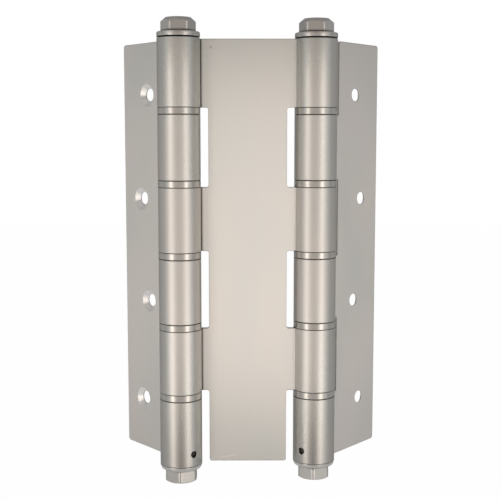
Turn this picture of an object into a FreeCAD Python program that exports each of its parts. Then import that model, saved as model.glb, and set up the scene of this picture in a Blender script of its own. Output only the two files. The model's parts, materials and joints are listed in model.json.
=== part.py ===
import FreeCAD, Part
import math
import os

from FreeCAD import Placement, Rotation, Vector

# Double action cafe door hinge, in millimetres.
# A centre plate joins two barrels. The jamb leaf turns on one, the door leaf on the other.
# The origin is the middle of the jamb leaf's mounting face,
# with +Z up along the barrels and +Y out of that face.

# Sheet metal
leaf_height = 180.0
sheet = 2.0
barrel_diameter = 18.0
kink_radius = 1.2
seam_gap = 0.6
closed_gap = 2.4
axis_spacing = 57.4
slot_width = 3.2
leaf_flat = 29.6
corner_radius = 1.3
slot_corner_radius = 1.0

# Knuckles and the rings between them
knuckle_count = 6
end_knuckle_extra = 1.2
ring_flange = 3.0
ring_wall = 1.0
ring_spigot = 4.0
ring_chamfer = 0.25
axial_play = 0.12

# Countersunk screw holes, four in each leaf
screw_count = 4
screw_hole_diameter = 5.5
countersink_diameter = 9.8
countersink_land = 0.3
screw_end_margin = 22.2
screw_stagger = 5.0

# Fits, as radial clearances
press_fit = 0.01
running_fit = 0.06

# Hexagon heads
hex_across_flats = 13.0
hex_corner_round = 1.3

# Top caps
cap_gap = 0.6
cap_flange = 2.0
cap_flange_round = 0.5
cap_head = 5.8
cap_chamfer_width = 2.2
cap_chamfer_height = 1.9
cap_plug = 10.0

# Bottom spring adjusters
adjuster_flange = 1.7
adjuster_taper_height = 1.4
adjuster_taper_width = 0.45
adjuster_head = 5.8
adjuster_chamfer_width = 1.0
adjuster_chamfer_height = 0.7
adjuster_plug = 12.0
pin_hole_diameter = 3.0
pin_hole_height = 5.3
winding_hole_count = 6
winding_hole_depth = 2.8

# Torsion springs; the index is the mean diameter of the coil over that of its wire
spring_index = 4.18
spring_clearance = 0.3
spring_pitch = 6.0
spring_leg = 4.0
spring_end_gap = 0.2
leg_clearance = 0.1

# Spindles that hold each barrel together
spindle_spring_clearance = 0.35
spindle_running_fit = 0.1
spindle_thread = 9.0
spindle_head_diameter = 8.6
spindle_head_height = 2.0
spindle_recess = 2.6
recess_clearance = 0.2
driver_slot_width = 1.2
driver_slot_depth = 0.9

# The pose that is shown, as opening angles from folded shut
jamb_opening = 229.3
door_opening = 130.4

# Where one corner of each hexagon points, in degrees
cap_corner_angle = {"jamb": 64.2, "door": 53.4}
adjuster_corner_angle = {"jamb": 18.3, "door": 35.6}

# Worked out from the values above
barrel_radius = barrel_diameter / 2
bore_radius = barrel_radius - sheet
half_height = leaf_height / 2
sheet_offset = (sheet + closed_gap) / 2
sheet_near = sheet_offset - sheet / 2
sheet_far = sheet_offset + sheet / 2
slot_edge = barrel_radius + slot_width
leaf_reach = slot_edge + leaf_flat
leaf_middle = slot_edge + leaf_flat / 2
ring_pitch = ring_flange + axial_play
knuckles_and_extras = leaf_height - (knuckle_count - 1) * ring_pitch
knuckle_length = (knuckles_and_extras - 2 * end_knuckle_extra) / knuckle_count
ring_bore_radius = bore_radius - ring_wall
spring_wire = 2 * (ring_bore_radius - spring_clearance) / (spring_index + 1)
coil_radius = ring_bore_radius - spring_clearance - spring_wire / 2
spring_bottom = -half_height + adjuster_plug
spring_top = half_height - cap_plug
elbow_radius = spring_wire
coil_low = spring_bottom + elbow_radius + spring_end_gap
coil_high = spring_top - elbow_radius - spring_end_gap
half_turns = 2 * round((coil_high - coil_low) / spring_pitch)
half_turn_rise = (coil_high - coil_low) / half_turns
joint_radius = math.sqrt(coil_radius ** 2 - (half_turn_rise / 2) ** 2)
spindle_radius = joint_radius - spring_wire / 2 - spindle_spring_clearance
adjuster_foot = -half_height - axial_play - adjuster_flange - adjuster_head
plate_knuckles = range(0, knuckle_count, 2)
leaf_knuckles = range(1, knuckle_count, 2)

# How far a cutting tool runs past what it cuts, and the length that counts as none
over = 1.0
hair = 0.01


def polar(radius, angle):
    return Vector(radius * math.cos(angle), radius * math.sin(angle), 0)


def turned(degrees):
    return Placement(Vector(), Rotation(Vector(0, 0, 1), degrees))


def moved(shape, placement):
    copy = shape.copy()
    copy.Placement = placement.multiply(copy.Placement)
    return copy


def disc(radius, low, high):
    return Part.makeCylinder(radius, high - low, Vector(0, 0, low))


def turned_profile(points):
    """Solid of revolution about Z from (radius, height) points."""
    corners = [Vector(radius, 0, height) for radius, height in points]
    face = Part.Face(Part.makePolygon(corners + corners[:1]))
    return face.revolve(Vector(), Vector(0, 0, 1), 360)


def knuckle_spans():
    """Low and high end of every knuckle, from the top one down."""
    spans = []
    high = half_height
    for index in range(knuckle_count):
        is_end = index in (0, knuckle_count - 1)
        length = knuckle_length + (end_knuckle_extra if is_end else 0)
        spans.append((high - length, high))
        high -= length + ring_pitch
    return spans


def open_spans(own_knuckles):
    """Heights where a sheet is cut away for the other sheet's knuckles and the rings."""
    spans = knuckle_spans()
    edges = [half_height + 2 * over + slot_corner_radius]
    for index in own_knuckles:
        low, high = spans[index]
        edges += [high, low]
    edges.append(-edges[0])
    pairs = [(edges[i + 1], edges[i]) for i in range(0, len(edges), 2)]
    return [(low, high) for low, high in pairs if low < half_height and high > -half_height]


def rolled_section(run):
    """Section of a sheet that runs along +X, kinks and rolls once round the origin."""
    kink_y = sheet_far + kink_radius
    kink_distance = barrel_radius + kink_radius
    kink_x = math.sqrt(kink_distance ** 2 - kink_y ** 2)
    kink = Vector(kink_x, kink_y, 0)
    start = math.atan2(kink_y, kink_x)
    reach = kink_radius + sheet + seam_gap
    squares = kink_distance ** 2 + barrel_radius ** 2 - reach ** 2
    end = start - math.acos(squares / (2 * kink_distance * barrel_radius)) + 2 * math.pi
    middle = (start + end) / 2
    down = 1.5 * math.pi
    back = math.pi + start
    between = (down + back) / 2
    inner = kink_radius
    outer = kink_radius + sheet
    edges = [
        Part.LineSegment(Vector(run, sheet_far, 0), kink + polar(inner, down)),
        Part.Arc(kink + polar(inner, down), kink + polar(inner, between), kink + polar(inner, back)),
        Part.Arc(polar(barrel_radius, start), polar(barrel_radius, middle), polar(barrel_radius, end)),
        Part.LineSegment(polar(barrel_radius, end), polar(bore_radius, end)),
        Part.Arc(polar(bore_radius, end), polar(bore_radius, middle), polar(bore_radius, start)),
        Part.Arc(kink + polar(outer, back), kink + polar(outer, between), kink + polar(outer, down)),
        Part.LineSegment(kink + polar(outer, down), Vector(run, sheet_near, 0)),
        Part.LineSegment(Vector(run, sheet_near, 0), Vector(run, sheet_far, 0)),
    ]
    return Part.Face(Part.Wire([edge.toShape() for edge in edges]))


def round_corners(solid, places, radius):
    """Rounds the edges across the sheet that stand at the given (x, z) places."""
    chosen = []
    for edge in solid.Edges:
        box = edge.BoundBox
        across = box.YLength > sheet / 2 and box.XLength < hair and box.ZLength < hair
        near = any(math.hypot(box.XMin - x, box.ZMin - z) < hair for x, z in places)
        if across and near:
            chosen.append(edge)
    return solid.makeFillet(radius, chosen)


def rolled_sheet(run, own_knuckles):
    """One sheet with its own knuckles, cut away beside every other knuckle."""
    section = rolled_section(run)
    section.translate(Vector(0, 0, -half_height))
    solid = section.extrude(Vector(0, 0, leaf_height))
    left = -barrel_radius - over
    for low, high in open_spans(own_knuckles):
        corner = Vector(left, -barrel_radius - over, low)
        slot = Part.makeBox(slot_edge - left, 2 * (barrel_radius + over), high - low, corner)
        slot = round_corners(slot, [(slot_edge, low), (slot_edge, high)], slot_corner_radius)
        solid = solid.cut(slot)
    return solid


def screw_places():
    """Distance from the barrel axis and height of each screw hole, from the top down."""
    pitch = (leaf_height - 2 * screw_end_margin) / (screw_count - 1)
    places = []
    for index in range(screw_count):
        side = -1 if index % 2 == 0 else 1
        height = half_height - screw_end_margin - index * pitch
        places.append((leaf_middle + side * screw_stagger / 2, height))
    return places


def leaf():
    """Leaf that runs along -X from its barrel, with countersinks on its -Y face."""
    solid = rolled_sheet(leaf_reach, leaf_knuckles)
    outer = [(leaf_reach, half_height), (leaf_reach, -half_height)]
    solid = round_corners(solid, outer, corner_radius)
    solid = round_corners(solid, [(slot_edge, half_height)], slot_corner_radius)
    solid = solid.mirror(Vector(), Vector(1, 0, 0))
    across = Vector(0, 1, 0)
    sink_depth = sheet - countersink_land
    hole_radius = screw_hole_diameter / 2
    sink_radius = countersink_diameter / 2
    for reach, height in screw_places():
        face_point = Vector(-reach, sheet_near, height)
        hole = Part.makeCylinder(hole_radius, sheet + 2 * over, face_point - across * over, across)
        sink = Part.makeCone(sink_radius, hole_radius, sink_depth, face_point, across)
        solid = solid.cut(hole).cut(sink)
    pin_centre = Vector(0, 0, pin_hole_height - half_height)
    pin_hole = Part.makeCylinder(pin_hole_diameter / 2, barrel_radius + over, pin_centre, Vector(1, 0, 0))
    return solid.cut(pin_hole)


def centre_plate():
    """Plate with the jamb barrel's axis at the origin and the door barrel's along +X."""
    half = rolled_sheet(axis_spacing / 2, plate_knuckles)
    half = round_corners(half, [(slot_edge, -half_height)], slot_corner_radius)
    middle = Vector(axis_spacing / 2, sheet_offset, 0)
    other = half.copy()
    other.rotate(middle, Vector(0, 0, 1), 180)
    return half.fuse(other).removeSplitter()


def bearing_ring(index):
    """Flanged ring below knuckle number index, pressed into the plate's knuckle."""
    spans = knuckle_spans()
    gap_low = spans[index + 1][1]
    gap_high = spans[index][0]
    pressed_up = index in plate_knuckles
    flange_low = gap_high - ring_flange if pressed_up else gap_low
    flange_high = flange_low + ring_flange
    upper_fit = press_fit if pressed_up else running_fit
    lower_fit = running_fit if pressed_up else press_fit
    flange = disc(barrel_radius, flange_low, flange_high)
    rims = [edge for edge in flange.Edges if edge.BoundBox.ZLength < hair]
    ring = flange.makeChamfer(ring_chamfer, rims)
    ring = ring.fuse(disc(bore_radius - upper_fit, flange_high - over, flange_high + ring_spigot))
    ring = ring.fuse(disc(bore_radius - lower_fit, flange_low - ring_spigot, flange_low + over))
    reach = ring_spigot + over
    return ring.cut(disc(ring_bore_radius, flange_low - reach, flange_high + reach))


def hex_head(root, tip, corner_angle, chamfer_width, chamfer_height):
    """Hexagon head from its root to its tip, with rounded corners that are turned off at the tip."""
    across_corners_radius = hex_across_flats / 2 / math.cos(math.radians(30))
    foot = Vector(0, 0, min(root, tip))
    corners = []
    for step in range(7):
        corners.append(foot + polar(across_corners_radius, math.radians(corner_angle + 60 * step)))
    prism = Part.Face(Part.makePolygon(corners)).extrude(Vector(0, 0, abs(tip - root)))
    upright = [edge for edge in prism.Edges if edge.BoundBox.ZLength > hair]
    prism = prism.makeFillet(hex_corner_round, upright)
    shoulder = tip - math.copysign(chamfer_height, tip - root)
    envelope = turned_profile([
        (0, root),
        (across_corners_radius, root),
        (across_corners_radius, shoulder),
        (across_corners_radius - chamfer_width, tip),
        (0, tip),
    ])
    return prism.common(envelope)


def leg_socket(side, low, high):
    """Hole for a spring leg; side is +1 for the upper leg and -1 for the lower."""
    centre = Vector(joint_radius, side * elbow_radius, low)
    return Part.makeCylinder(spring_wire / 2 + leg_clearance, high - low, centre)


def top_cap(corner_angle):
    """Cap pressed into the top knuckle, which holds the spring's upper leg."""
    flange_low = half_height + cap_gap
    flange_high = flange_low + cap_flange
    flange = disc(barrel_radius, flange_low, flange_high)
    rim = [edge for edge in flange.Edges if edge.BoundBox.ZMin > flange_high - hair]
    cap = flange.makeFillet(cap_flange_round, rim)
    tip = flange_high + cap_head
    cap = cap.fuse(hex_head(flange_high, tip, corner_angle, cap_chamfer_width, cap_chamfer_height))
    cap = cap.fuse(disc(bore_radius - press_fit, spring_top, flange_low))
    cap = cap.cut(disc(spindle_radius + press_fit, spring_top - over, spring_top + spindle_thread))
    return cap.cut(leg_socket(1, spring_top - over, spring_top + spring_leg + leg_clearance))


def adjuster(corner_angle, turn):
    """Spring adjuster that turns in the bottom knuckle, with holes for a winding bar."""
    flange_high = -half_height - axial_play
    flange_low = flange_high - adjuster_flange
    body = turned_profile([
        (0, flange_low),
        (barrel_radius - adjuster_taper_width, flange_low),
        (barrel_radius, flange_low + adjuster_taper_height),
        (barrel_radius, flange_high),
        (bore_radius - running_fit, flange_high),
        (bore_radius - running_fit, spring_bottom),
        (0, spring_bottom),
    ])
    angle = corner_angle + turn
    head = hex_head(flange_low, adjuster_foot, angle, adjuster_chamfer_width, adjuster_chamfer_height)
    body = body.fuse(head)
    rod_hole_radius = spindle_radius + spindle_running_fit
    body = body.cut(disc(rod_hole_radius, adjuster_foot - over, spring_bottom + over))
    recess_radius = spindle_head_diameter / 2 + recess_clearance
    body = body.cut(disc(recess_radius, adjuster_foot - over, adjuster_foot + spindle_recess))
    centre = Vector(0, 0, pin_hole_height - half_height)
    for step in range(winding_hole_count):
        direction = polar(1, math.radians(turn + step * 360 / winding_hole_count))
        start = centre + direction * (bore_radius - winding_hole_depth)
        depth = winding_hole_depth + over
        body = body.cut(Part.makeCylinder(pin_hole_diameter / 2, depth, start, direction))
    return body.cut(leg_socket(-1, spring_bottom - spring_leg - leg_clearance, spring_bottom + over))


def spindle():
    """Rod screwed into the top cap, with a slotted head let into the adjuster."""
    shoulder = adjuster_foot + spindle_recess - axial_play
    head_low = shoulder - spindle_head_height
    rod = disc(spindle_radius, shoulder - over, spring_top + spindle_thread - axial_play)
    rod = rod.fuse(disc(spindle_head_diameter / 2, head_low, shoulder))
    slot_length = spindle_head_diameter + over
    corner = Vector(-slot_length / 2, -driver_slot_width / 2, head_low)
    return rod.cut(Part.makeBox(slot_length, driver_slot_width, driver_slot_depth, corner))


def torsion_spring():
    """Coil of half turns, each a plain arc, with a leg bent along the axis at either end."""
    walls = []

    def grow(solid, target):
        """Keeps the walls of a stretch of wire and returns the face at its far end."""
        flats = [face for face in solid.Faces if isinstance(face.Surface, Part.Plane)]
        walls.extend(face for face in solid.Faces if not isinstance(face.Surface, Part.Plane))
        return min(flats, key=lambda face: face.CenterOfMass.distanceToPoint(target))

    def straight(profile, run):
        return grow(profile.extrude(run), profile.CenterOfMass + run)

    def bend(profile, centre, axis, angle):
        target = centre + Rotation(axis, angle).multVec(profile.CenterOfMass - centre)
        return grow(profile.revolve(centre, axis, angle), target)

    foot = Vector(joint_radius, -elbow_radius, spring_bottom - spring_leg)
    first = Part.Face(Part.Wire([Part.makeCircle(spring_wire / 2, foot, Vector(0, 0, 1))]))
    profile = straight(first, Vector(0, 0, coil_low - elbow_radius - foot.z))
    sideways = Vector(1, 0, 0)
    profile = bend(profile, Vector(joint_radius, 0, coil_low - elbow_radius), sideways, -90)
    for step in range(half_turns):
        side = 1 if step % 2 == 0 else -1
        start = Vector(side * joint_radius, 0, coil_low + step * half_turn_rise)
        finish = Vector(-side * joint_radius, 0, start.z + half_turn_rise)
        axis = (start - finish).cross(Vector(0, side, 0))
        profile = bend(profile, (start + finish) * 0.5, axis.normalize(), 180)
    profile = bend(profile, Vector(joint_radius, 0, coil_high + elbow_radius), sideways, 90)
    profile = straight(profile, Vector(0, 0, spring_top + spring_leg - coil_high - elbow_radius))
    shell = Part.Shell(walls + [first, profile])
    shell.sewShape()
    return Part.makeSolid(shell)


def barrel(side, opening, place):
    """Every piece of one barrel but the plate, by node name, at its place in the hinge."""
    leaf_turn = 180 - opening
    pieces = {
        side + "_top_cap": top_cap(cap_corner_angle[side]),
        side + "_spring_adjuster": adjuster(adjuster_corner_angle[side], leaf_turn),
        side + "_torsion_spring": torsion_spring(),
        side + "_spindle": spindle(),
    }
    for index in range(knuckle_count - 1):
        pieces["%s_bearing_ring_%d" % (side, index + 1)] = bearing_ring(index)
    pieces[side + "_leaf"] = moved(leaf(), turned(leaf_turn))
    return {name: moved(shape, place) for name, shape in pieces.items()}


jamb_axis = Vector(leaf_middle, -sheet_far, 0)
jamb_place = Placement(jamb_axis, Rotation(Vector(0, 0, 1), jamb_opening - 180))
across_plate = Placement(Vector(axis_spacing, 2 * sheet_offset, 0), Rotation(Vector(0, 0, 1), 180))
door_place = jamb_place.multiply(across_plate)

nodes = {"centre_plate": moved(centre_plate(), jamb_place)}
nodes.update(barrel("jamb", jamb_opening, jamb_place))
nodes.update(barrel("door", door_opening, door_place))

os.makedirs("parts", exist_ok=True)
for name, shape in nodes.items():
    shape.exportStep(os.path.join("parts", name + ".step"))
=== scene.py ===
import json
import math
from collections import namedtuple

import bpy
from mathutils import Euler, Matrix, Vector


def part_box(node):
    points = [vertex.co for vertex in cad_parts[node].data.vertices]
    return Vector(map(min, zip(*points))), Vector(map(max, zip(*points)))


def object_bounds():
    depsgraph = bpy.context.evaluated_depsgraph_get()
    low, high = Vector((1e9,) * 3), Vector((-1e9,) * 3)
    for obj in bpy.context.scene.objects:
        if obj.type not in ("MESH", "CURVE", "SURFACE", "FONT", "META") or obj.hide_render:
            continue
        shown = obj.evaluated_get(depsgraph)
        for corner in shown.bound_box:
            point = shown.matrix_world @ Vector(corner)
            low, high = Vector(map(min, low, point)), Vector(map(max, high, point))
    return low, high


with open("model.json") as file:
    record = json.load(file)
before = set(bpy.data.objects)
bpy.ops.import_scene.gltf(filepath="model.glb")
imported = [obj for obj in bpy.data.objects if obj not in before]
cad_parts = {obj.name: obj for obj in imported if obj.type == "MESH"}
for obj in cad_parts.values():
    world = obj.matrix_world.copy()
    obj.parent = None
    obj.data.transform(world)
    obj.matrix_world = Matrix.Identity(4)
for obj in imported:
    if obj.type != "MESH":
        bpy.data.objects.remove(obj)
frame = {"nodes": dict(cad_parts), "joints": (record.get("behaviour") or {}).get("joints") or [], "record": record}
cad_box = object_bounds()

bl_info = {
    "name": "Double action hinge",
    "version": (1, 0, 0),
    "blender": (4, 5, 0),
    "location": "View3D > Sidebar > Hinge",
    "description": "Steel finishes of a double action spring hinge, with its studio",
    "category": "Material",
}

SIDES = ("jamb", "door")
RINGS_PER_BARREL = 5
MILLIMETRE = 0.001
WHITE = (1, 1, 1)
# Facets of the round tent and of the floor
ROUND_FACETS = 96

# A band of the grey tent: the height from the hinge's middle where it starts to show and where it shows
# in full, and its tones straight ahead, beside that, at the left and right flanks and at both sides. The
# first band shows wherever no other does.
TentBand = namedtuple("TentBand", "start full ahead beside left right side")
TENT_BANDS = (
    TentBand(0.00, 0.00, ahead=0.80, beside=0.80, left=0.82, right=0.90, side=0.56),
    TentBand(0.14, 0.21, ahead=0.26, beside=0.50, left=0.80, right=0.68, side=0.52),
    TentBand(-0.08, -0.22, ahead=0.80, beside=0.98, left=0.94, right=1.00, side=0.56),
    TentBand(-0.26, -0.35, ahead=0.04, beside=0.28, left=0.20, right=0.76, side=0.46),
)
# The tent's tones that are the same at each height: where the flats of the jamb leaf and of the door leaf
# mirror it, and behind the hinge
JAMB_LEAF_TONE = 0.46
DOOR_LEAF_TONE = 0.39
BEHIND_TONE = 0.32
# Degrees from the camera within which the tent has the lamps' warm white
WARM_TURN = 50

# Tints of the soft patches in the brushed sheet, and shades of those in the turned pieces
SHEET_PATCH_TINTS = ((0.945, 0.965, 0.95), (1.0, 0.98, 0.965))
TURNED_PATCH_SHADES = (0.96, 1.04)
# Shades that brush marks and lathe marks leave
BRUSH_SHADES = (0.96, 0.99)
LATHE_SHADES = (0.93, 1.0)
# Depth of a brush mark or lathe mark
MARK_DEPTH = 0.002 * MILLIMETRE

# A steel while it is made: its material, node tree and shader, the socket with the place on the piece, and
# its normal without and with rounded edges
Steel = namedtuple("Steel", "material tree shader place normal rounded")


def barrel_axis(side):
    """Where a barrel's axis stands, from the joint that turns about it."""
    for joint in frame["joints"]:
        if joint["name"] == side + "_pivot":
            return Vector(joint["pos_m"])
    raise RuntimeError("there is no joint named %s_pivot" % side)


def barrel_radius(side):
    """Radius of a barrel, from one of its bearing rings."""
    low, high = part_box(side + "_bearing_ring_1")
    return (high.x - low.x) / 2


def leaf_facing(side):
    """Which way a leaf's mounting face looks, from its mount."""
    for mount in frame["record"]["mounts"]:
        if mount["name"] == side + "_face":
            return Vector(mount["axis"])
    raise RuntimeError("there is no mount named %s_face" % side)


def plate_centre():
    """Middle of the centre plate, halfway between the two barrels."""
    return (barrel_axis("jamb") + barrel_axis("door")) / 2


class HingeFinish(bpy.types.PropertyGroup):
    """Colours, with painted light and shade, and surface finish of the hinge's steels"""

    # Painted light and shade: the flats and the knuckles are one steel, and these are a lighter and a darker copy
    # of its colour
    lit_flat_color: bpy.props.FloatVectorProperty(
        name="Sheet", description="Colour of the brushed flats of the sheet",
        default=(0.735, 0.717, 0.694), min=0, max=1, subtype="COLOR")
    shaded_barrel_color: bpy.props.FloatVectorProperty(
        name="Barrels", description="Colour of the knuckles rolled from the sheet",
        default=(0.54, 0.525, 0.503), min=0, max=1, subtype="COLOR")
    turned_color: bpy.props.FloatVectorProperty(
        name="Rings", description="Colour of the bearing rings",
        default=(0.55, 0.53, 0.495), min=0, max=1, subtype="COLOR")
    head_color: bpy.props.FloatVectorProperty(
        name="Heads", description="Colour of the hexagon heads and their flanges",
        default=(0.565, 0.545, 0.515), min=0, max=1, subtype="COLOR")
    countersink_color: bpy.props.FloatVectorProperty(
        name="Countersinks", description="Colour of the freshly cut countersinks",
        default=(0.86, 0.845, 0.825), min=0, max=1, subtype="COLOR")
    spring_color: bpy.props.FloatVectorProperty(
        name="Spring steel", description="Colour of the oiled springs",
        default=(0.16, 0.155, 0.15), min=0, max=1, subtype="COLOR")
    spindle_color: bpy.props.FloatVectorProperty(
        name="Spindle steel", description="Colour of the drawn spindles",
        default=(0.50, 0.50, 0.49), min=0, max=1, subtype="COLOR")
    edge_color: bpy.props.FloatVectorProperty(
        name="Cut edge", description="Colour of the sheet's cut edges",
        default=(0.30, 0.29, 0.275), min=0, max=1, subtype="COLOR")
    # Painted shade: a near-black colour painted into seams, gaps and hollows wherever neighbours crowd the
    # surface, and how near a neighbour must be for it to show
    seam_shade_color: bpy.props.FloatVectorProperty(
        name="Grime", description="Colour of the dried oil in the seams",
        default=(0.02, 0.017, 0.015), min=0, max=1, subtype="COLOR")
    seam_shade_reach: bpy.props.FloatProperty(
        name="Grime reach", description="How near a neighbour has to be for grime to gather",
        default=1.5 * MILLIMETRE, min=0, unit="LENGTH")
    flat_roughness: bpy.props.FloatProperty(
        name="Flat roughness", description="Roughness of the brushed flats",
        default=0.4, min=0, max=1)
    barrel_roughness: bpy.props.FloatProperty(
        name="Barrel roughness", description="Roughness of the rolled knuckles",
        default=0.28, min=0, max=1)
    countersink_roughness: bpy.props.FloatProperty(
        name="Countersink roughness", description="Roughness of the countersinks",
        default=0.36, min=0, max=1)
    turned_roughness: bpy.props.FloatProperty(
        name="Turned roughness", description="Roughness of the turned pieces",
        default=0.32, min=0, max=1)
    brushing: bpy.props.FloatProperty(
        name="Brushing", description="How much wider the gloss spreads across the sheet's brush marks",
        default=0.9, min=0, max=1)
    turning: bpy.props.FloatProperty(
        name="Turning", description="How much wider the gloss spreads across the lathe's marks",
        default=0.6, min=0, max=1)
    streak_width: bpy.props.FloatProperty(
        name="Streak width", description="Width of a brush mark",
        default=0.5 * MILLIMETRE, min=0, unit="LENGTH")
    streak_length: bpy.props.FloatProperty(
        name="Streak length", description="Length of a brush mark",
        default=90 * MILLIMETRE, min=0, unit="LENGTH")
    lathe_mark: bpy.props.FloatProperty(
        name="Lathe mark", description="Width of a lathe mark",
        default=0.2 * MILLIMETRE, min=0, unit="LENGTH")
    cloud_size: bpy.props.FloatProperty(
        name="Cloud size", description="Size of the soft patches in the finish",
        default=28 * MILLIMETRE, min=0, unit="LENGTH")
    sheet_edge: bpy.props.FloatProperty(
        name="Sheet edge", description="Rounding that light shows on the sheet's cut edges",
        default=0.5 * MILLIMETRE, min=0, unit="LENGTH")
    turned_edge: bpy.props.FloatProperty(
        name="Turned edge", description="Rounding that light shows on the turned pieces' edges",
        default=0.25 * MILLIMETRE, min=0, unit="LENGTH")
    head_edge: bpy.props.FloatProperty(
        name="Head edge", description="Rounding that light shows on the hexagons' corners",
        default=0.8 * MILLIMETRE, min=0, unit="LENGTH")


class HingeStudio(bpy.types.PropertyGroup):
    """Camera, lamps, tent and floor"""

    camera_place: bpy.props.FloatVectorProperty(
        name="Camera place", description="Where the camera stands",
        default=(0.360765, -0.254023, 0.04886), subtype="TRANSLATION", unit="LENGTH")
    camera_heading: bpy.props.FloatProperty(
        name="Camera heading", description="Turn of the camera about the vertical",
        default=math.radians(49.004), subtype="ANGLE")
    camera_pitch: bpy.props.FloatProperty(
        name="Camera pitch", description="How far the camera looks down",
        default=math.radians(6.4047), subtype="ANGLE")
    camera_lens: bpy.props.FloatProperty(
        name="Lens", description="Focal length on a 36 mm wide sensor",
        default=71.398, min=1, unit="CAMERA")
    lamp_color: bpy.props.FloatVectorProperty(
        name="Lamp colour", description="Warm white of the lamps",
        default=(1.0, 0.93, 0.873), min=0, max=1, subtype="COLOR")
    lamp_brightness: bpy.props.FloatProperty(
        name="Lamp brightness", description="Brightness of each lamp, where 1 is white",
        default=1.8, min=0)
    left_lamp_azimuth: bpy.props.FloatProperty(
        name="Left lamp azimuth", description="Turn of the left strip lamp from the camera",
        default=math.radians(-44), subtype="ANGLE")
    right_lamp_azimuth: bpy.props.FloatProperty(
        name="Right lamp azimuth", description="Turn of the right strip lamp from the camera",
        default=math.radians(38), subtype="ANGLE")
    lamp_elevation: bpy.props.FloatProperty(
        name="Lamp elevation", description="Rise of each strip lamp above the plate's centre",
        default=math.radians(-9.9), subtype="ANGLE")
    lamp_distance: bpy.props.FloatProperty(
        name="Lamp distance", description="Distance of each lamp",
        default=0.36, min=0, unit="LENGTH")
    lamp_width: bpy.props.FloatProperty(
        name="Lamp width", description="Width of each strip lamp",
        default=0.115, min=0, unit="LENGTH")
    lamp_height: bpy.props.FloatProperty(
        name="Lamp height", description="Height of each strip lamp",
        default=0.35, min=0, unit="LENGTH")
    tent_radius: bpy.props.FloatProperty(
        name="Tent radius", description="Radius of the grey tent",
        default=0.8, min=0, unit="LENGTH")
    tent_height: bpy.props.FloatProperty(
        name="Tent height", description="Height of the grey tent",
        default=0.9, min=0, unit="LENGTH")
    groundsheet_tone: bpy.props.FloatProperty(
        name="Groundsheet tone", description="Tone of the tent's groundsheet, where 1 is white",
        default=0.7, min=0)
    room_light: bpy.props.FloatProperty(
        name="Room light", description="Strength of the light from all round",
        default=1.0, min=0)
    floor_drop: bpy.props.FloatProperty(
        name="Floor drop", description="Height of the hinge's foot above the floor",
        default=0.4, min=0, unit="LENGTH")
    floor_radius: bpy.props.FloatProperty(
        name="Floor radius", description="Radius of the floor",
        default=6.0, min=0, unit="LENGTH")


def add(tree, kind, inputs=None, **settings):
    """Adds a node with its settings. An input is a constant, or a socket to link from."""
    node = tree.nodes.new(kind)
    for name, value in settings.items():
        setattr(node, name, value)
    for key, value in (inputs or {}).items():
        if isinstance(value, bpy.types.NodeSocket):
            tree.links.new(value, node.inputs[key])
        else:
            node.inputs[key].default_value = value
    return node


def calculate(tree, operation, first, second=0.0):
    """One Math node, as its result socket."""
    return add(tree, "ShaderNodeMath", {0: first, 1: second}, operation=operation).outputs[0]


def combine(tree, operation, first, second):
    """One Vector Math node, as its vector socket."""
    return add(tree, "ShaderNodeVectorMath", {0: first, 1: second}, operation=operation).outputs["Vector"]


def measure(tree, operation, first, second=(0, 0, 0)):
    """One Vector Math node, as its number socket."""
    return add(tree, "ShaderNodeVectorMath", {0: first, 1: second}, operation=operation).outputs["Value"]


def span(tree, value, start, end):
    """0 at the start, rising or falling to 1 at the end."""
    places = {"Value": value, "From Min": start, "From Max": end, "To Min": 0.0, "To Max": 1.0}
    return add(tree, "ShaderNodeMapRange", places, clamp=True).outputs[0]


def blended(tree, factor, first, second):
    """One Mix node for numbers, as its result socket."""
    return add(tree, "ShaderNodeMix", {0: factor, 2: first, 3: second}, data_type="FLOAT").outputs[0]


def mixed_color(tree, factor, first, second, blend="MIX"):
    """One Mix node for colours, as its result socket."""
    inputs = {0: factor, 6: first, 7: second}
    return add(tree, "ShaderNodeMix", inputs, data_type="RGBA", blend_type=blend).outputs[2]


def opaque(color, share=1.0):
    """A colour with alpha, darkened or lightened by a share."""
    return tuple(min(1.0, channel * share) for channel in color) + (1.0,)


def noise(tree, place, sizes, detail=3.0, roughness=0.6):
    """Soft noise whose patches have the given size along each axis, from 0 to 1."""
    scale = tuple(1 / size for size in sizes)
    spread = add(tree, "ShaderNodeMapping", {"Vector": place, "Scale": scale}).outputs[0]
    settings = {"Vector": spread, "Scale": 1.0, "Detail": detail, "Roughness": roughness}
    return add(tree, "ShaderNodeTexNoise", settings).outputs["Fac"]


def near_axis(tree, place, axis, inner, outer):
    """1 within the inner radius of a vertical axis, falling to 0 at the outer radius."""
    levelled = {"Vector": place, "Location": (-axis.x, -axis.y, 0), "Scale": (1, 1, 0)}
    distance = measure(tree, "LENGTH", add(tree, "ShaderNodeMapping", levelled).outputs[0])
    return span(tree, distance, outer, inner)


def seam_shaded(tree, color, finish):
    """Paints shade into a colour where neighbours crowd the surface, darkening seams, gaps and hollows."""
    reach = {"Distance": finish.seam_shade_reach}
    open_share = add(tree, "ShaderNodeAmbientOcclusion", reach, samples=8).outputs["AO"]
    return mixed_color(tree, span(tree, open_share, 0.65, 0.9), opaque(finish.seam_shade_color), color)


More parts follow.
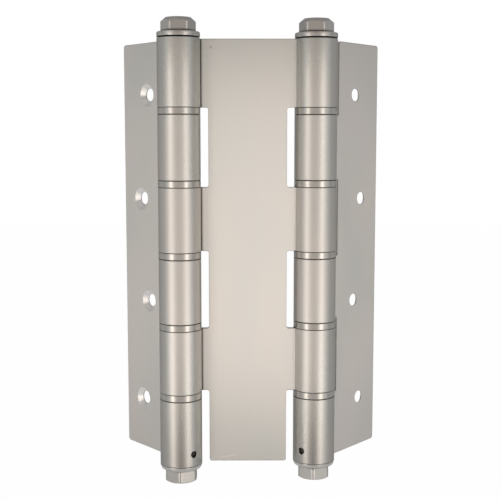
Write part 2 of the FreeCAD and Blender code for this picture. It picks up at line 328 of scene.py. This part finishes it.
def new_steel(name, spread, edge, brushed_upright):
    """A steel with rounded edges and its gloss spread across the brush marks."""
    material = bpy.data.materials.new(name)
    material.use_nodes = True
    tree = material.node_tree
    shader = tree.nodes["Principled BSDF"]
    shader.inputs["Metallic"].default_value = 1.0
    shader.inputs["Anisotropic"].default_value = spread
    place = add(tree, "ShaderNodeTexCoord").outputs["Object"]
    normal = add(tree, "ShaderNodeNewGeometry").outputs["Normal"]
    # Not quite upright, so that level faces get a brushing direction as well
    upright = (0.01, 0, 1)
    across = combine(tree, "CROSS_PRODUCT", upright, normal)
    tangent = across if brushed_upright else combine(tree, "CROSS_PRODUCT", normal, across)
    tree.links.new(tangent, shader.inputs["Tangent"])
    rounded = add(tree, "ShaderNodeBevel", {"Radius": edge}, samples=6).outputs[0]
    return Steel(material, tree, shader, place, normal, rounded)


def varied(tree, level, pattern, amount):
    """A level that a pattern raises and lowers by up to half the amount."""
    change = calculate(tree, "MULTIPLY", calculate(tree, "SUBTRACT", pattern, 0.5), amount)
    return calculate(tree, "ADD", level, change)


def surfaced(steel, finish, color, roughness, marks, relief):
    """Puts colour, roughness and the relief of its marks on a steel, and returns the finished material."""
    tree, inputs = steel.tree, steel.shader.inputs
    # The base colour carries painted shade in its seams, gaps and hollows
    tree.links.new(seam_shaded(tree, color, finish), inputs["Base Color"])
    tree.links.new(roughness, inputs["Roughness"])
    bump = {"Strength": relief, "Distance": MARK_DEPTH, "Height": marks, "Normal": steel.rounded}
    tree.links.new(add(tree, "ShaderNodeBump", bump).outputs[0], inputs["Normal"])
    return steel.material


class PlateMark:
    """A small stain or scratch on the centre plate: how far across from the jamb barrel's axis and at what
    height its middle lies, its two half sizes, its rise along the plate and its colour."""

    # How much of the steel's own colour a mark hides in its middle
    strength = 0.6

    def __init__(self, across, height, half_length, half_width, slope, color):
        jamb = barrel_axis("jamb")
        self.along = (barrel_axis("door") - jamb).normalized()
        self.middle = jamb + self.along * across + Vector((0, 0, height))
        self.half_length = half_length
        self.half_width = half_width
        self.slope = slope
        self.color = color


def mark_share(tree, place, mark):
    """1 in the middle of a mark, falling to 0 at its rim."""
    moved = combine(tree, "SUBTRACT", place, mark.middle)
    length = measure(tree, "DOT_PRODUCT", moved, mark.along)
    width = measure(tree, "DOT_PRODUCT", moved, Vector((0, 0, 1)) - mark.along * mark.slope)
    shares = {
        "X": calculate(tree, "DIVIDE", length, mark.half_length),
        "Y": calculate(tree, "DIVIDE", width, mark.half_width),
    }
    distance = measure(tree, "LENGTH", add(tree, "ShaderNodeCombineXYZ", shares).outputs[0])
    return calculate(tree, "MULTIPLY", span(tree, distance, 1.0, 0.3), mark.strength)


def slanted(tree, facing):
    """1 where the surface slants to the sheet's face, as in a countersink."""
    normal = add(tree, "ShaderNodeTexCoord").outputs["Normal"]
    slope = calculate(tree, "ABSOLUTE", measure(tree, "DOT_PRODUCT", normal, facing))
    off_the_bore, off_the_face = span(tree, slope, 0.3, 0.4), span(tree, slope, 0.97, 0.93)
    return calculate(tree, "MULTIPLY", off_the_bore, off_the_face)


def rolled_share(tree, place, axes):
    """1 on the knuckles rolled round the axes, and 0 on the flats."""
    rolled = None
    for axis, radius in axes:
        close = near_axis(tree, place, axis, inner=radius * 1.01, outer=radius * 1.08)
        rolled = close if rolled is None else calculate(tree, "MAXIMUM", rolled, close)
    return rolled


def sheet_steel(name, finish, axes, marks=(), facing=None):
    """Stainless sheet brushed along the barrels, smoother on the knuckles rolled round the axes."""
    steel = new_steel(name, finish.brushing, finish.sheet_edge, brushed_upright=True)
    tree, place = steel.tree, steel.place
    width, cloud = finish.streak_width, finish.cloud_size
    streaks = noise(tree, place, (width, width, finish.streak_length))
    clouds = noise(tree, place, (cloud, cloud, 2 * cloud), detail=2.0, roughness=0.5)
    rolled = rolled_share(tree, place, axes)
    flat = calculate(tree, "SUBTRACT", 1.0, rolled)
    # Painted light on the flats and painted shade on the knuckles: a lighter and a darker copy of one steel's
    # colour
    color = mixed_color(tree, rolled, opaque(finish.lit_flat_color), opaque(finish.shaded_barrel_color))
    tints = (opaque(tint) for tint in SHEET_PATCH_TINTS)
    patches = mixed_color(tree, span(tree, clouds, 0.35, 0.65), *tints)
    color = mixed_color(tree, 1.0, color, patches, "MULTIPLY")
    shade = mixed_color(tree, streaks, *(opaque(WHITE, share) for share in BRUSH_SHADES))
    color = mixed_color(tree, 1.0, color, shade, "MULTIPLY")
    level = blended(tree, rolled, finish.flat_roughness, finish.barrel_roughness)
    if facing is not None:
        countersunk = calculate(tree, "MULTIPLY", slanted(tree, facing), flat)
        color = mixed_color(tree, countersunk, color, opaque(finish.countersink_color))
        level = blended(tree, countersunk, level, finish.countersink_roughness)
    # The further an edge's rounding turns the surface, the more of the cut shows
    turned = measure(tree, "DOT_PRODUCT", steel.normal, steel.rounded)
    edge = calculate(tree, "MULTIPLY", span(tree, turned, 0.98, 0.87), flat)
    color = mixed_color(tree, edge, color, opaque(finish.edge_color))
    for mark in marks:
        color = mixed_color(tree, mark_share(tree, place, mark), color, opaque(mark.color))
    level = varied(tree, varied(tree, level, streaks, amount=0.025), clouds, amount=0.08)
    return surfaced(steel, finish, color, level, streaks, relief=0.05)


def turned_steel(name, finish, color, roughness, edge):
    """Steel turned on a lathe, with fine marks round the piece."""
    steel = new_steel(name, finish.turning, edge, brushed_upright=False)
    tree, place = steel.tree, steel.place
    mark, cloud = finish.lathe_mark, finish.cloud_size / 4
    run = 60 * mark
    marks = noise(tree, place, (run, run, mark))
    clouds = noise(tree, place, (cloud, cloud, cloud))
    tone = mixed_color(tree, clouds, *(opaque(color, share) for share in TURNED_PATCH_SHADES))
    shade = mixed_color(tree, marks, *(opaque(WHITE, share) for share in LATHE_SHADES))
    tone = mixed_color(tree, 1.0, tone, shade, "MULTIPLY")
    level = varied(tree, varied(tree, roughness, marks, amount=0.06), clouds, amount=0.05)
    return surfaced(steel, finish, tone, level, marks, relief=0.2)


def dress(node_name, material):
    """Gives a CAD node its material."""
    piece = frame["nodes"][node_name]
    piece.data.materials.clear()
    piece.data.materials.append(material)


class HINGE_OT_finish_sheets(bpy.types.Operator):
    """Brushes the centre plate and both leaves"""

    bl_idname = "hinge.finish_sheets"
    bl_label = "Finish the plate and leaves"

    def execute(self, context):
        finish = context.scene.hinge_finish
        axes = {side: (barrel_axis(side), barrel_radius(side)) for side in SIDES}
        stain = PlateMark(
            across=13.4 * MILLIMETRE, height=86.5 * MILLIMETRE, half_length=0.6 * MILLIMETRE,
            half_width=0.9 * MILLIMETRE, slope=0, color=(0.3, 0.28, 0.25))
        scratch = PlateMark(
            across=20.5 * MILLIMETRE, height=-88 * MILLIMETRE, half_length=5.5 * MILLIMETRE,
            half_width=0.22 * MILLIMETRE, slope=0.1, color=(1.0, 0.97, 0.93))
        plate = sheet_steel("brushed_plate", finish, list(axes.values()), (stain, scratch))
        dress("centre_plate", plate)
        for side in SIDES:
            leaf = sheet_steel("brushed_%s_leaf" % side, finish, [axes[side]], facing=leaf_facing(side))
            dress(side + "_leaf", leaf)
        return {"FINISHED"}


class HINGE_OT_finish_rings(bpy.types.Operator):
    """Turns the bearing rings between the knuckles"""

    bl_idname = "hinge.finish_rings"
    bl_label = "Finish the bearing rings"

    def execute(self, context):
        finish = context.scene.hinge_finish
        steel = turned_steel(
            "turned_rings", finish, finish.turned_color, finish.turned_roughness, finish.turned_edge)
        for side in SIDES:
            for index in range(RINGS_PER_BARREL):
                dress("%s_bearing_ring_%d" % (side, index + 1), steel)
        return {"FINISHED"}


class HINGE_OT_finish_heads(bpy.types.Operator):
    """Turns the top caps and the spring adjusters with their hexagons"""

    bl_idname = "hinge.finish_heads"
    bl_label = "Finish the caps and adjusters"

    def execute(self, context):
        finish = context.scene.hinge_finish
        steel = turned_steel(
            "turned_heads", finish, finish.head_color, finish.turned_roughness, finish.head_edge)
        for side in SIDES:
            dress(side + "_top_cap", steel)
            dress(side + "_spring_adjuster", steel)
        return {"FINISHED"}


class HINGE_OT_finish_inside(bpy.types.Operator):
    """Finishes the springs and the spindles inside the barrels"""

    bl_idname = "hinge.finish_inside"
    bl_label = "Finish the springs and spindles"

    def execute(self, context):
        finish = context.scene.hinge_finish
        smooth, edge = finish.barrel_roughness, finish.turned_edge
        spring = turned_steel("oiled_spring", finish, finish.spring_color, smooth, edge)
        spindle = turned_steel("drawn_spindle", finish, finish.spindle_color, smooth, edge)
        for side in SIDES:
            dress(side + "_torsion_spring", spring)
            dress(side + "_spindle", spindle)
        return {"FINISHED"}


def studio_place(azimuth, elevation, distance):
    """A point round the plate's centre; azimuth 0 is towards the camera, and grows to its right."""
    centre = plate_centre()
    heading = bpy.context.scene.hinge_studio.camera_heading
    towards = Vector((math.sin(heading), -math.cos(heading), 0))
    right = Vector((math.cos(heading), math.sin(heading), 0))
    level = towards * math.cos(azimuth) + right * math.sin(azimuth)
    return centre + (level * math.cos(elevation) + Vector((0, 0, math.sin(elevation)))) * distance


def facing_centre(place):
    """Rotation that turns a lamp at a place towards the plate's centre, upright."""
    return (place - plate_centre()).to_track_quat("Z", "Y").to_euler()


def strip_lamp(name, azimuth, studio):
    """An upright strip lamp; at a brightness of 1 it is as bright as a white surface."""
    data = bpy.data.lights.new(name, "AREA")
    data.shape = "RECTANGLE"
    data.size = studio.lamp_width
    data.size_y = studio.lamp_height
    data.energy = studio.lamp_brightness * math.pi * studio.lamp_width * studio.lamp_height
    data.color = studio.lamp_color
    lamp = bpy.data.objects.new(name, data)
    bpy.context.scene.collection.objects.link(lamp)
    lamp.location = studio_place(azimuth, studio.lamp_elevation, studio.lamp_distance)
    lamp.rotation_euler = facing_centre(lamp.location)
    lamp.visible_camera = False


def tent_tones(band):
    """A band's tones by the turn from the camera in degrees, from its left to its right."""
    return (
        (-150, BEHIND_TONE),
        (-135, BEHIND_TONE),
        (-112, band.side),
        (-82, JAMB_LEAF_TONE),
        (-62, band.left),
        (-44, band.beside),
        (-24, band.beside),
        (-8, band.ahead),
        (8, band.ahead),
        (24, band.beside),
        (38, band.beside),
        (62, band.right),
        (82, DOOR_LEAF_TONE),
        (112, band.side),
        (135, BEHIND_TONE),
        (150, BEHIND_TONE),
    )


def tone_ramp(tree, turn, studio, band):
    """A band's tones round the hinge; the turn runs from 0 to 1, with 0.5 towards the camera."""
    tones = tent_tones(band)
    ramp = add(tree, "ShaderNodeValToRGB", {"Fac": turn})
    steps = ramp.color_ramp.elements
    while len(steps) < len(tones):
        steps.new(1.0)
    for step, (degrees, tone) in zip(steps, tones):
        step.position = degrees / 360 + 0.5
    for step, (degrees, tone) in zip(steps, tones):
        step.color = opaque(studio.lamp_color if abs(degrees) < WARM_TURN else WHITE, tone)
    return ramp.outputs["Color"]


def bare_material(name):
    """A new material without a shader, with its tree and the socket that takes a shader."""
    material = bpy.data.materials.new(name)
    material.use_nodes = True
    tree = material.node_tree
    tree.nodes.remove(tree.nodes["Principled BSDF"])
    return material, tree, tree.nodes["Material Output"].inputs["Surface"]


def tent_material(studio):
    """Glows in the tent's tones, band by band."""
    material, tree, surface = bare_material("grey_tent")
    place = add(tree, "ShaderNodeTexCoord").outputs["Object"]
    moved = combine(tree, "SUBTRACT", place, plate_centre())
    faced = add(tree, "ShaderNodeVectorRotate", {"Vector": moved, "Angle": -studio.camera_heading})
    part = add(tree, "ShaderNodeSeparateXYZ", {"Vector": faced.outputs[0]}).outputs
    angle = calculate(tree, "ARCTAN2", part["X"], calculate(tree, "MULTIPLY", part["Y"], -1.0))
    turn = calculate(tree, "ADD", calculate(tree, "DIVIDE", angle, math.tau), 0.5)
    tone = tone_ramp(tree, turn, studio, TENT_BANDS[0])
    for band in TENT_BANDS[1:]:
        share = span(tree, part["Z"], band.start, band.full)
        tone = mixed_color(tree, share, tone, tone_ramp(tree, turn, studio, band))
    tree.links.new(add(tree, "ShaderNodeEmission", {"Color": tone}).outputs[0], surface)
    return material


def groundsheet_material(studio):
    """Glows in one plain tone."""
    material, tree, surface = bare_material("grey_groundsheet")
    tone = opaque(WHITE, studio.groundsheet_tone)
    tree.links.new(add(tree, "ShaderNodeEmission", {"Color": tone}).outputs[0], surface)
    return material


def floor_material():
    """A pale matt floor that is near white where it is seen directly."""
    material, tree, surface = bare_material("pale_floor")
    matt = add(tree, "ShaderNodeBsdfDiffuse", {"Color": opaque(WHITE, 0.95)}).outputs[0]
    glow = add(tree, "ShaderNodeEmission", {"Strength": 1.0}).outputs[0]
    share = calculate(tree, "MULTIPLY", seen_directly(tree), 0.85)
    tree.links.new(add(tree, "ShaderNodeMixShader", {0: share, 1: matt, 2: glow}).outputs[0], surface)
    return material


def seen_directly(tree):
    """1 for rays that come from the camera, a gloss or a clear body, and 0 for the rest."""
    path = add(tree, "ShaderNodeLightPath")
    seen = calculate(tree, "MAXIMUM", path.outputs["Is Camera Ray"], path.outputs["Is Glossy Ray"])
    return calculate(tree, "MAXIMUM", seen, path.outputs["Is Transmission Ray"])


class HINGE_OT_build_stage(bpy.types.Operator):
    """Sets up the camera, the lamps, a grey tent, a pale floor and a white surround"""

    bl_idname = "hinge.build_stage"
    bl_label = "Build the stage"

    def execute(self, context):
        studio = context.scene.hinge_studio
        self.place_camera(context, studio)
        strip_lamp("left_strip_lamp", studio.left_lamp_azimuth, studio)
        strip_lamp("right_strip_lamp", studio.right_lamp_azimuth, studio)
        self.pitch_tent(studio)
        self.lay_floor(studio)
        self.light_room(context, studio)
        context.scene.view_settings.view_transform = "Standard"
        return {"FINISHED"}

    def place_camera(self, context, studio):
        """Stands the camera where the photograph was taken from."""
        data = bpy.data.cameras.new("camera")
        data.sensor_width = 36
        data.lens = studio.camera_lens
        data.clip_start = 0.01
        camera = bpy.data.objects.new("camera", data)
        context.scene.collection.objects.link(camera)
        camera.location = studio.camera_place
        tilt = math.radians(90) - studio.camera_pitch
        camera.rotation_euler = Euler((tilt, 0, studio.camera_heading))
        context.scene.camera = camera

    def pitch_tent(self, studio):
        """Stands a grey tent with a lid and a groundsheet round the hinge."""
        centre = plate_centre()
        rise = Vector((0, 0, studio.tent_height / 2))
        tones = tent_material(studio)
        bpy.ops.object.select_all(action="DESELECT")
        bpy.ops.mesh.primitive_cylinder_add(
            vertices=ROUND_FACETS, radius=studio.tent_radius, depth=studio.tent_height,
            end_fill_type="NOTHING", location=centre)
        tent = [self.set_up("tent_wall", tones)]
        tent.append(self.add_disc("tent_lid", studio.tent_radius, centre + rise, tones))
        sheet = groundsheet_material(studio)
        tent.append(self.add_disc("tent_groundsheet", studio.tent_radius, centre - rise, sheet))
        for part in tent:
            # Only the steel's gloss sees the tent
            part.visible_camera = False
            part.visible_diffuse = False
            part.visible_transmission = False
            part.visible_shadow = False

    def lay_floor(self, studio):
        """Lays a round floor a good way under the hinge."""
        place = plate_centre()
        place.z = cad_box[0].z - studio.floor_drop
        self.add_disc("floor", studio.floor_radius, place, floor_material())

    def add_disc(self, name, radius, place, material):
        """Adds a level disc to the stage."""
        bpy.ops.object.select_all(action="DESELECT")
        bpy.ops.mesh.primitive_circle_add(
            vertices=ROUND_FACETS, radius=radius, fill_type="NGON", location=place)
        return self.set_up(name, material)

    def set_up(self, name, material):
        """Names and finishes the piece of the stage that was just added."""
        part = bpy.context.object
        part.name = name
        bpy.ops.object.transform_apply(location=True, rotation=True, scale=True)
        part.data.materials.append(material)
        return part

    def light_room(self, context, studio):
        """Lights the hinge from all round, before a white background."""
        world = bpy.data.worlds.new("white_surround")
        context.scene.world = world
        world.use_nodes = True
        tree = world.node_tree
        background = tree.nodes["Background"]
        background.inputs["Color"].default_value = opaque(WHITE)
        strength = blended(tree, seen_directly(tree), studio.room_light, 1.0)
        tree.links.new(strength, background.inputs["Strength"])


class HINGE_PT_panel(bpy.types.Panel):
    """Lists the hinge's operators and settings"""

    bl_idname = "HINGE_PT_panel"
    bl_label = "Hinge"
    bl_space_type = "VIEW_3D"
    bl_region_type = "UI"
    bl_category = "Hinge"

    def draw(self, context):
        layout = self.layout
        for operator in OPERATORS:
            layout.operator(operator.bl_idname)
        for group in (context.scene.hinge_finish, context.scene.hinge_studio):
            for name in group.__annotations__:
                layout.prop(group, name)


OPERATORS = (
    HINGE_OT_build_stage,
    HINGE_OT_finish_sheets,
    HINGE_OT_finish_rings,
    HINGE_OT_finish_heads,
    HINGE_OT_finish_inside,
)


def register():
    """Registers the settings, the operators and the panel."""
    for kind in (HingeFinish, HingeStudio, *OPERATORS, HINGE_PT_panel):
        bpy.utils.register_class(kind)
    bpy.types.Scene.hinge_finish = bpy.props.PointerProperty(type=HingeFinish)
    bpy.types.Scene.hinge_studio = bpy.props.PointerProperty(type=HingeStudio)


def unregister():
    """Removes the settings, the operators and the panel."""
    del bpy.types.Scene.hinge_studio
    del bpy.types.Scene.hinge_finish
    for kind in (HINGE_PT_panel, *reversed(OPERATORS), HingeStudio, HingeFinish):
        bpy.utils.unregister_class(kind)


def main():
    """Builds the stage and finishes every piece."""
    register()
    bpy.ops.hinge.build_stage()
    bpy.ops.hinge.finish_sheets()
    bpy.ops.hinge.finish_rings()
    bpy.ops.hinge.finish_heads()
    bpy.ops.hinge.finish_inside()


if __name__ == "__main__":
    main()
